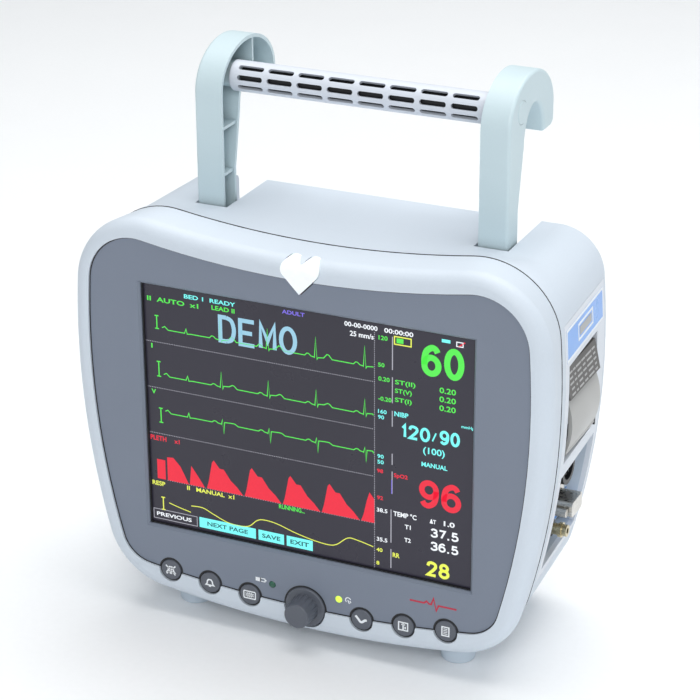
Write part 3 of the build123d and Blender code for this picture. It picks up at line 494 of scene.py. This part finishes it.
def smooth_line(points, steps=6):
    """A smooth curve through the points."""
    padded = [points[0], *points, points[-1]]
    line = []
    for index in range(1, len(padded) - 2):
        a, b, c, d = (Vector(point) for point in padded[index - 1 : index + 3])
        for step in range(steps):
            t = step / steps
            square = (2 * a - 5 * b + 4 * c - d) * t * t
            cube = (3 * b - a - 3 * c + d) * t**3
            line.append(0.5 * (2 * b + (c - a) * t + square + cube))
    return [*line, Vector(points[-1])]


def oval(middle, half_height, half_width=0.5, corners=28):
    """A closed oval across the cell of a letter."""
    return [
        (0.5 + half_width * cos(turn), middle + half_height * sin(turn)) for turn in full_turn(corners)
    ]


# Thick letters as strokes in a cell from (0, 0) to (1, 1), each with whether it closes on itself.
SIX_STEM = smooth_line([(0.94, 0.84), (0.78, 0.97), (0.5, 1.0), (0.14, 0.84), (0.0, 0.55), (0.0, 0.32)])
TWO_CURVE = smooth_line([(0.02, 0.72), (0.14, 0.94), (0.5, 1.0), (0.92, 0.9), (0.96, 0.66), (0.6, 0.36)])
THREE_TOP = smooth_line([(0.04, 0.8), (0.2, 0.96), (0.5, 1.0), (0.9, 0.9), (0.88, 0.62), (0.42, 0.53)])
THREE_FOOT = smooth_line([(0.42, 0.53), (0.92, 0.46), (0.98, 0.14), (0.5, 0.0), (0.16, 0.05), (0.02, 0.22)])
FIVE_BOWL = smooth_line(
    [(0.08, 0.5), (0.5, 0.62), (0.94, 0.5), (0.98, 0.16), (0.5, 0.0), (0.14, 0.05), (0.0, 0.2)]
)
D_CURVE = smooth_line([(0.45, 1.0), (0.84, 0.88), (1.0, 0.5), (0.84, 0.12), (0.45, 0.0)])
LETTER_STROKES = {
    "0": [(oval(0.5, 0.5), True)],
    "1": [([(0.0, 0.74), (0.75, 1.0), (0.75, 0.0)], False)],
    "2": [(TWO_CURVE, False), ([(0.6, 0.36), (0.02, 0.0), (1.0, 0.0)], False)],
    "3": [(THREE_TOP, False), (THREE_FOOT, False)],
    "5": [([(0.94, 1.0), (0.16, 1.0), (0.08, 0.5)], False), (FIVE_BOWL, False)],
    "6": [(oval(0.31, 0.31), True), (SIX_STEM, False)],
    "7": [([(0.0, 1.0), (1.0, 1.0), (0.35, 0.0)], False)],
    "8": [(oval(0.76, 0.24, 0.42), True), (oval(0.27, 0.27), True)],
    "9": [(oval(0.69, 0.31), True), ([(1 - x, 1 - y) for x, y in SIX_STEM], False)],
    "D": [([(0.45, 0.0), (0.0, 0.0), (0.0, 1.0), (0.45, 1.0)], False), (D_CURVE, False)],
    "E": [([(1.0, 1.0), (0.0, 1.0), (0.0, 0.0), (1.0, 0.0)], False), ([(0.0, 0.5), (0.85, 0.5)], False)],
    "M": [([(0.0, 0.0), (0.0, 1.0), (0.5, 0.3), (1.0, 1.0), (1.0, 0.0)], False)],
    "O": [(oval(0.5, 0.5), True)],
}


# ---------------------------------------------------------------- the picture on the screen

# Places on the screen are millimetres in the frame's x and z.
SCREEN_LEFT_X = -105.6
TRACE_END_X = 43.6
TRACE_WIDTH = 0.55
BEAT_SPACING = 30.8
FIRST_BEAT_X = -54.9

SCREEN_COLOURS = {
    "green": (0.09, 0.80, 0.08),
    "cyan": (0.19, 0.93, 0.90),
    "red": (0.80, 0.016, 0.045),
    "yellow": (0.80, 0.87, 0.10),
    "white": (0.86, 0.90, 0.95),
    "pale": (0.30, 0.56, 0.72),
    "violet": (0.20, 0.15, 0.75),
    "dim": (0.40, 0.40, 0.46),
}
CAPTION_COLOUR = (0.010, 0.10, 0.13)


def beat(up, down, p_wave, t_wave, lift):
    """One heartbeat's line: distance after the main spike, and height over the baseline."""
    return [
        (-7.0, 0.0),
        (-5.6, p_wave),
        (-4.4, p_wave * 0.9),
        (-3.0, 0.1),
        (-1.2, -0.2),
        (-0.8, -0.4),
        (0.0, up),
        (0.8, down),
        (1.4, lift),
        (5.0, lift + t_wave * 0.15),
        (7.2, t_wave),
        (8.4, t_wave * 0.9),
        (10.4, 0.1),
    ]


def heart_trace(baseline, shape):
    """One lead's line across the screen: a first rise, a notch and four heartbeats."""
    start = [(-93.4, baseline + 1.0), (-91.6, baseline + 2.0), (-89.4, baseline)]
    notch = [(-78.4, baseline), (-77.4, baseline + 2.8), (-76.6, baseline - 0.3), (-74.4, baseline)]
    line = start + notch
    for index in range(4):
        spike_x = FIRST_BEAT_X + BEAT_SPACING * index
        line += [(spike_x + along, baseline + height) for along, height in shape]
    last_x = TRACE_END_X - 0.6
    return [point for point in line if point[0] < last_x] + [(last_x, baseline + 0.2)]


def calibration_mark(ink, x, low, high):
    """An upright line between two short bars, which shows the scale of a trace."""
    ink.stroke([(x, low), (x, high)], 0.7)
    ink.bar(x - 1.3, high - 0.4, 2.6, 0.7)
    ink.bar(x - 1.3, low - 0.3, 2.6, 0.7)


def dotted(ink, start, end, pitch=1.15, size=0.5):
    """A row of square dots from start to end."""
    start = Vector(start)
    run = Vector(end) - start
    count = int(run.length / pitch)
    for index in range(count + 1):
        dot = start + run * (index / count)
        ink.bar(dot.x - size / 2, dot.y - size / 2, size, size)


def pulse_waves(ink):
    """The filled pulse curve: a scale bar, two short waves, four alike, and the start of the next."""
    foot = 90.6
    ink.bar(-100.4, foot, 5.6, 13.0)
    ink.slab([(-93.4, foot), (-79.0, foot), (-84.4, 101.4), (-89.2, 106.4), (-93.4, 106.0)])
    ink.slab([(-78.4, foot), (-68.0, foot), (-72.6, 97.4), (-77.0, 103.4)])
    for index in range(4):
        left = -66.8 + 25.45 * index
        ink.slab(
            [
                (left, foot),
                (left + 24.6, foot),
                (left + 20.4, 95.4),
                (left + 16.2, 99.0),
                (left + 11.8, 105.4),
                (left + 9.0, 105.4),
                (left + 5.2, 110.2),
                (left + 4.0, 108.6),
                (left + 1.4, 95.4),
            ]
        )
    last = [(TRACE_END_X, 106.0), (40.4, 110.0), (38.6, 104.0), (36.6, 95.0)]
    ink.slab([(35.0, foot), (TRACE_END_X, foot), *last])


def draw_screen():
    """The waves, numbers and buttons of the display, one piece per colour."""
    front = on_front(GLASS_Y - 0.01 * MM)
    inks = {name: Ink(front, 0.04) for name in SCREEN_COLOURS}
    green = inks["green"]
    cyan = inks["cyan"]
    red = inks["red"]
    yellow = inks["yellow"]
    white = inks["white"]
    violet = inks["violet"]
    dim = inks["dim"]

    green.stroke(heart_trace(189.9, beat(12.2, -1.4, 1.5, 2.8, -0.2)), TRACE_WIDTH)
    green.stroke(heart_trace(159.7, beat(9.4, -1.4, 1.1, 2.2, 0.6)), TRACE_WIDTH)
    green.stroke(heart_trace(135.6, beat(2.9, -6.2, 1.1, 1.5, 1.2)), TRACE_WIDTH)
    for x, low, high in ((-96.8, 189.8, 198.1), (-96.6, 159.0, 168.6), (-96.4, 128.7, 138.1)):
        calibration_mark(green, x, low, high)
    calibration_mark(yellow, -97.2, 69.8, 78.2)
    green.text("II  AUTO  x1", -102.7, 207.0, 34.0, 3.0)
    green.text("LEAD II", -60.0, 208.0, 15.0, 2.8)
    green.text("I", -101.2, 176.8, 0.9, 3.0)
    green.text("V", -102.2, 147.0, 3.0, 3.0)
    cyan.text("BED 1  READY", -78.0, 212.2, 33.6, 2.6)
    violet.text("ADULT", -14.4, 213.4, 14.4, 2.5)
    inks["pale"].bold("DEMO", -56.0, 188.2, 51.0, 17.6, 0.15)
    white.text("00-00-0000", 24.9, 212.6, 20.6, 2.9)
    white.text("00:00:00", 49.6, 212.6, 17.8, 2.9)
    white.text("25 mm/s", 28.3, 207.0, 14.8, 3.2)

    for z in (181.1, 151.3, 121.1):
        dotted(dim, (SCREEN_LEFT_X + 0.6, z), (TRACE_END_X, z))
    dotted(dim, (TRACE_END_X, 60.9), (TRACE_END_X, 211.4))
    dotted(dim, (-93.4, 90.4), (TRACE_END_X, 90.4), 1.6, 0.4)
    for low, high in ((190.4, 210.8), (169.8, 185.9), (155.0, 164.9), (130.7, 137.8), (112.0, 126.4)):
        dim.bar(54.4, low, 0.6, high - low)
    violet.bar(54.2, 112.0, 0.6, 9.0)
    for low, high in ((80.0, 101.7), (63.2, 75.7)):
        dim.bar(53.8, low, 0.6, high - low)

    green.text("120", 46.1, 207.7, 5.6, 2.7, 0.02)
    green.text("50", 45.8, 191.0, 4.0, 2.6, 0.02)
    green.text("0.20", 46.0, 182.4, 7.0, 2.7, 0.02)
    green.text("-0.20", 46.0, 170.0, 8.2, 2.7, 0.02)
    cyan.text("160", 45.8, 162.0, 5.4, 2.5, 0.02)
    cyan.text("90", 45.8, 158.4, 3.8, 2.5, 0.02)
    cyan.text("90", 45.4, 133.4, 4.0, 2.5, 0.02)
    cyan.text("50", 45.4, 129.8, 4.0, 2.5, 0.02)
    red.text("98", 45.2, 124.0, 3.8, 2.5, 0.02)
    red.text("92", 45.2, 106.6, 3.8, 2.5, 0.02)
    white.text("38.5", 45.0, 98.6, 6.8, 2.6, 0.02)
    white.text("35.5", 45.0, 79.4, 6.8, 2.6, 0.02)
    yellow.text("40", 44.8, 72.4, 3.9, 2.5, 0.02)
    yellow.text("8", 44.8, 63.6, 1.9, 2.5, 0.02)

    yellow.outline(55.9, 206.6, 66.1, 211.3, 0.7)
    green.bar(57.2, 207.5, 4.2, 2.9)
    cyan.bar(84.6, 212.8, 5.2, 2.0)
    white.outline(93.6, 211.8, 97.4, 214.4, 0.6)
    red.stroke([(94.6, 211.6), (98.6, 214.8)], 0.7)
    green.bold("60", 72.4, 190.6, 26.0, 19.4)
    for words, z, width in (("ST(II)", 181.2, 12.6), ("ST(V)", 175.8, 10.4), ("ST(I)", 170.2, 10.4)):
        green.text(words, 56.3, z, width, 3.6, 0.018)
    for z in (181.6, 176.1, 170.6):
        green.text("0.20", 83.6, z, 10.0, 3.5, 0.018)
    cyan.text("NIBP", 56.0, 162.0, 8.7, 3.0, 0.026)
    cyan.bold("120", 60.4, 149.2, 17.4, 9.0)
    cyan.stroke([(79.6, 150.6), (81.8, 156.0)], 0.9)
    cyan.bold("90", 84.0, 149.6, 12.4, 9.0)
    cyan.text("mmHg", 97.2, 161.8, 7.6, 2.4)
    cyan.text("(100)", 73.9, 140.8, 13.4, 5.4, 0.02)
    cyan.text("MANUAL", 73.0, 133.6, 16.0, 2.9, 0.026)
    red.text("SpO2", 55.8, 122.4, 8.7, 3.3, 0.024)
    red.bold("96", 71.6, 107.4, 26.2, 18.0)
    white.text("TEMP °C", 55.6, 98.0, 14.6, 3.3, 0.026)
    white.text("ΔT", 78.4, 98.0, 4.0, 2.8, 0.024)
    white.text("1.0", 87.2, 98.0, 6.8, 3.3, 0.026)
    white.text("T1", 62.8, 91.0, 3.8, 2.8, 0.026)
    white.text("T2", 62.6, 82.4, 4.0, 2.8, 0.026)
    for words, z in (("37", 89.2), ("36", 80.6)):
        white.bold(words, 79.0, z, 9.6, 5.8)
        white.bar(89.6, z, 1.1, 1.1)
        white.bold("5", 92.0, z, 4.4, 5.8)
    yellow.text("RR", 55.2, 70.8, 4.4, 3.0, 0.026)
    yellow.bold("28", 76.6, 63.3, 14.6, 10.0)

    red.text("PLETH", -104.2, 116.2, 10.8, 3.2)
    red.text("x1", -88.0, 116.4, 3.6, 2.8)
    pulse_waves(red)
    yellow.text("RESP", -104.2, 85.8, 8.8, 3.0)
    yellow.text("II   MANUAL  x1", -80.4, 86.8, 32.0, 2.8)
    green.text("RUNNING...", -18.6, 87.2, 17.0, 2.9)
    yellow.stroke(smooth_line([(-93.2, 75.2), (-86.0, 73.4), (-78.4, 71.9)]), TRACE_WIDTH)
    breath = [(-77.9, 76.3), (-70.0, 76.6), (-62.0, 73.4)]
    breath += [(-52.0, 70.0), (-40.0, 70.4), (-33.4, 75.8), (-28.4, 77.2), (-20.0, 76.4), (-8.0, 73.0)]
    breath += [(4.0, 70.6), (14.0, 69.8), (19.4, 71.4), (26.4, 77.0), (33.0, 76.8), (TRACE_END_X - 0.8, 74.8)]
    yellow.stroke(smooth_line(breath), TRACE_WIDTH)

    draw_buttons(inks)
    for name, colour in SCREEN_COLOURS.items():
        inks[name].piece(f"screen_{name}", "monitor", "screen_glass", lit(f"lit_{name}", colour))


def draw_buttons(inks):
    """The row of soft buttons along the foot of the screen, with their captions just in front."""
    low = 63.2
    high = low + 6.4
    inks["dim"].outline(-104.0, low, -74.2, high, 0.4)
    inks["white"].text("PREVIOUS", -102.0, low + 1.9, 24.0, 2.6)
    caption = Ink(on_front(GLASS_Y - 0.06 * MM), 0.03)
    for left, right, words in ((-72.6, -34.4, "NEXT PAGE"), (-32.6, -15.6, "SAVE"), (-13.8, 3.4, "EXIT")):
        inks["cyan"].bar(left, low, right - left, 6.8)
        inset = (right - left) * 0.14
        caption.text(words, left + inset, low + 1.9, right - left - 2 * inset, 2.9)
    caption.piece("screen_captions", "monitor", "screen_glass", lit("lit_caption", CAPTION_COLOUR))


# ---------------------------------------------------------------- printed marks on keys and panel

PRINT_THICKNESS = 0.06


def bell(ink, x, z, width):
    """A bell's outline with its clapper."""
    right = [(0.9, 2.2), (1.7, 1.0), (1.9, -0.5), (2.7, -1.5)]
    outline = [(-u, v) for u, v in right[::-1]] + right
    ink.stroke([(x + u, z + v) for u, v in outline], width, closed=True)
    ink.bar(x - 0.8, z - 2.7, 1.6, 0.7)


def front_middle(node):
    """The x, y and z of the middle of a node's front, in metres."""
    low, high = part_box(node)
    return (low.x + high.x) / 2, low.y, (low.z + high.z) / 2


def draw_key_marks():
    """The white symbol on each key."""
    thick = 0.9
    thin = 0.8
    for key in KEYS:
        middle_x, front_y, middle_z = front_middle(key)
        x = middle_x / MM
        z = middle_z / MM
        ink = Ink(on_front(front_y), PRINT_THICKNESS)
        if key == "key_mute":
            bell(ink, x, z, thick)
            ink.stroke([(x - 3.3, z + 2.9), (x + 3.1, z - 3.1)], thick)
            ink.stroke([(x - 3.1, z - 2.9), (x + 3.3, z + 3.1)], thick)
        if key == "key_alarm":
            bell(ink, x, z, thick)
        if key == "key_freeze":
            right = [(3.6, -2.4), (3.9, -1.9), (3.9, 1.9), (3.6, 2.4)]
            box_line = right + [(-u, v) for u, v in right[::-1]]
            ink.stroke([(x + u, z + v) for u, v in box_line], thin, closed=True)
            zigzag = [(-2.6, 1.0), (-1.2, -1.0), (0.0, 1.0), (1.2, -1.0), (2.6, 1.0)]
            ink.stroke([(x + u, z + v) for u, v in zigzag], thin)
            ink.stroke([(x + u, z - v) for u, v in zigzag], thin)
        if key == "key_pressure":
            arm = [(-3.7, 2.3), (-1.9, 0.3), (-0.4, -1.4), (1.0, -1.0), (2.2, 0.1), (3.6, 0.4)]
            ink.stroke([(x + u, z + v) for u, v in smooth_line(arm, 3)], 1.5)
        if key == "key_leads":
            ink.outline(x - 2.9, z - 2.6, x + 2.9, z + 2.6, thin)
            ink.bar(x - 0.5, z - 2.4, 1.0, 4.8)
            ink.bar(x - 1.3, z + 0.8, 2.6, 0.8)
            ink.bar(x + 0.9, z - 1.6, 0.8, 1.6)
        if key == "key_report":
            ink.outline(x - 2.2, z - 2.9, x + 2.2, z + 2.9, thin)
            for row in range(4):
                ink.bar(x - 1.3, z - 1.9 + 1.1 * row, 2.6, 0.5)
        ink.piece(f"{key}_mark", f"{key}_body", "key_plastic", PRINT_WHITE)


def make_key_liners():
    """The black ring that lines the round opening of each key."""
    inner_radius = 6.85
    outer_radius = 7.6
    inner_front = 0.5
    outer_front = 0.3
    back = 4.4
    profile = (
        (inner_radius, inner_front),
        (outer_radius, outer_front),
        (outer_radius, back),
        (inner_radius, back),
    )
    turns = full_turn(48)
    for key in KEYS:
        x, _, z = front_middle(key)
        rings = []
        mesh = bmesh.new()
        for radius, depth in profile:
            reach = radius * MM
            y = PANEL_Y + depth * MM
            ring = [(x + reach * cos(turn), y, z + reach * sin(turn)) for turn in turns]
            rings.append([mesh.verts.new(corner) for corner in ring])
        for first, second in zip(rings, rings[1:] + rings[:1]):
            for index in range(len(turns)):
                after = (index + 1) % len(turns)
                mesh.faces.new((first[index], first[after], second[after], second[index]))
        finished_piece(f"{key}_liner", mesh, "monitor", MATERIALS["black_plastic"])


def draw_panel_marks():
    """A battery and a plug beside the two lamps, and a plain pulse line at the lower right."""
    front = on_front(PANEL_Y)
    symbols = Ink(front, PRINT_THICKNESS)
    symbols.bar(-33.2, 37.1, 3.6, 2.6)
    symbols.outline(-29.9, 37.4, -26.9, 39.4, 0.6)
    symbols.bar(-26.6, 37.9, 0.7, 1.0)
    arc_radius = 1.7
    turns = [radians(20 + 14 * index) for index in range(16)]
    arc = [(28.2 + arc_radius * cos(turn), 37.6 + arc_radius * sin(turn)) for turn in turns]
    symbols.stroke(arc, 0.6)
    symbols.stroke([(28.0, 37.7), (29.0, 35.4)], 0.7)
    symbols.stroke([(29.4, 37.4), (30.0, 36.0)], 0.6)
    symbols.piece("panel_symbols", "monitor", "grey_panel", PRINT_WHITE)
    pulse = [(68.0, 47.2), (77.0, 47.2), (78.6, 48.6), (80.2, 47.2), (81.6, 47.2), (83.0, 51.4), (84.8, 43.6)]
    pulse += [(86.2, 47.2), (97.5, 47.2)]
    mark = Ink(front, PRINT_THICKNESS)
    mark.stroke(pulse, 1.1)
    mark.piece("panel_pulse_mark", "monitor", "grey_panel", PRINT_RED)


# ---------------------------------------------------------------- printed marks on the side

# The side wall in millimetres: its half width at the seam, how much it narrows over its run to the
# back, and the curve over its height. A distance u is counted from the front of the grey panel.
SEAM_X = 147.5
SEAM_U = 29.0
BACK_NARROWING = 4.7
BACK_RUN = 91.6
WAIST_Z = 175.0
WALL_RADIUS = 500.0
TRAY_DEPTH = 10.0
PANEL_FRONT = PANEL_Y / MM


def side_place(depth):
    """Marks on the side wall or at a depth below it, u from front to back and v up, following its form."""

    def place(u, v, height):
        narrowing = BACK_NARROWING * (u - SEAM_U) / BACK_RUN
        wall_x = SEAM_X - narrowing - (v - WAIST_Z) ** 2 / (2 * WALL_RADIUS)
        return Vector(((wall_x - depth + height) * MM, (u + PANEL_FRONT) * MM, v * MM))

    return place


def outer_loop(node):
    """The outer edge of a CAD node's flat front face, as points of x and z in millimetres."""
    made = frame["nodes"][node]
    corners = [made.matrix_world @ vertex.co for vertex in made.data.vertices]
    front_y = min(corner.y for corner in corners)
    flat = 0.02 * MM
    uses = {}
    for face in made.data.polygons:
        spots = [corners[index] for index in face.vertices]
        if max(spot.y for spot in spots) - front_y > flat:
            continue
        keys = [(round(spot.x / MM, 3), round(spot.z / MM, 3)) for spot in spots]
        for first, second in zip(keys, keys[1:] + keys[:1]):
            edge = (min(first, second), max(first, second))
            uses[edge] = uses.get(edge, 0) + 1
    neighbours = {}
    for (first, second), count in uses.items():
        if count == 1:
            neighbours.setdefault(first, []).append(second)
            neighbours.setdefault(second, []).append(first)
    start = min(neighbours)
    loop = [start, neighbours[start][0]]
    while True:
        onward = [key for key in neighbours[loop[-1]] if key != loop[-2]]
        if not onward or onward[0] == start:
            return loop
        loop.append(onward[0])


def make_gap_shade_strips():
    """Thin black strips in the gaps between the two casing halves and around the grey panel, painted shade
    that darkens these gaps.
    """
    for name, node, depth, width in (
        ("casing_gap_shade", "rear_casing", 0.0, 0.7),
        ("panel_gap_shade", "fascia_panel", 0.35, 0.8),
    ):
        ink = Ink(on_front(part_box(node)[0].y + depth * MM), 0.5)
        ink.stroke(outer_loop(node), width, closed=True)
        ink.piece(name, "monitor", "black_plastic", MATERIALS["black_plastic"])


def draw_side_marks():
    """The long label's white borders and plain drawing, and a small label beside the sockets."""
    border = Ink(side_place(0), 0.2)
    border.outline(39.9, 197.0, 111.1, 215.2, 1.3)
    border.outline(62.0, 202.0, 90.0, 211.0, 1.3)
    border.piece("label_border", "monitor", "label_blue", PRINT_WHITE)
    device = Ink(side_place(0), 0.24)
    device.bar(64.6, 204.0, 22.8, 5.0)
    device.piece("label_drawing", "monitor", "label_blue", PRINT_PALE)
    small = Ink(side_place(TRAY_DEPTH), 0.4)
    small.bar(92.0, 66.0, 15.0, 18.0)
    small.piece("socket_label", "monitor", "label_blue", MATERIALS["label_blue"])


def draw_recorder_marks():
    """Rows of bars on the sloped plate, in place of its instruction text."""
    top = Vector((143.7, 189.8))
    low = Vector((147.6, 171.6))
    down = (low - top).normalized()
    outward = Vector((-down.y, down.x))

    def place(u, v, height):
        point = top + down * v + outward * height
        return Vector((point.x * MM, (u + PANEL_FRONT) * MM, point.y * MM))

    ink = Ink(place, 0.05)
    words = [(0.0, 7.0), (8.2, 12.4), (13.6, 22.0), (23.2, 29.4), (30.6, 41.0), (42.2, 47.6)]
    text_left = 47.6
    stretch = 0.94
    first_row = 3.4
    row_pitch = 3.2
    row_height = 1.2
    for row in range(5):
        shift = (row * 5.3) % 9.0
        for start, end in words:
            left = text_left + start * stretch + shift * 0.2
            right = text_left + end * stretch - shift * 0.1
            if right - left > 1.5 and right < 96.5:
                ink.bar(left, first_row + row_pitch * row, right - left, row_height)
    ink.piece("recorder_plate_text", "monitor", "recorder_grey", PRINT_PALE)


# ---------------------------------------------------------------- all together

bpy.context.scene.view_settings.view_transform = "Standard"
make_camera()
make_world()
make_lights()
make_floor()
finish_nodes()
draw_screen()
draw_key_marks()
make_key_liners()
draw_panel_marks()
make_gap_shade_strips()
draw_side_marks()
draw_recorder_marks()
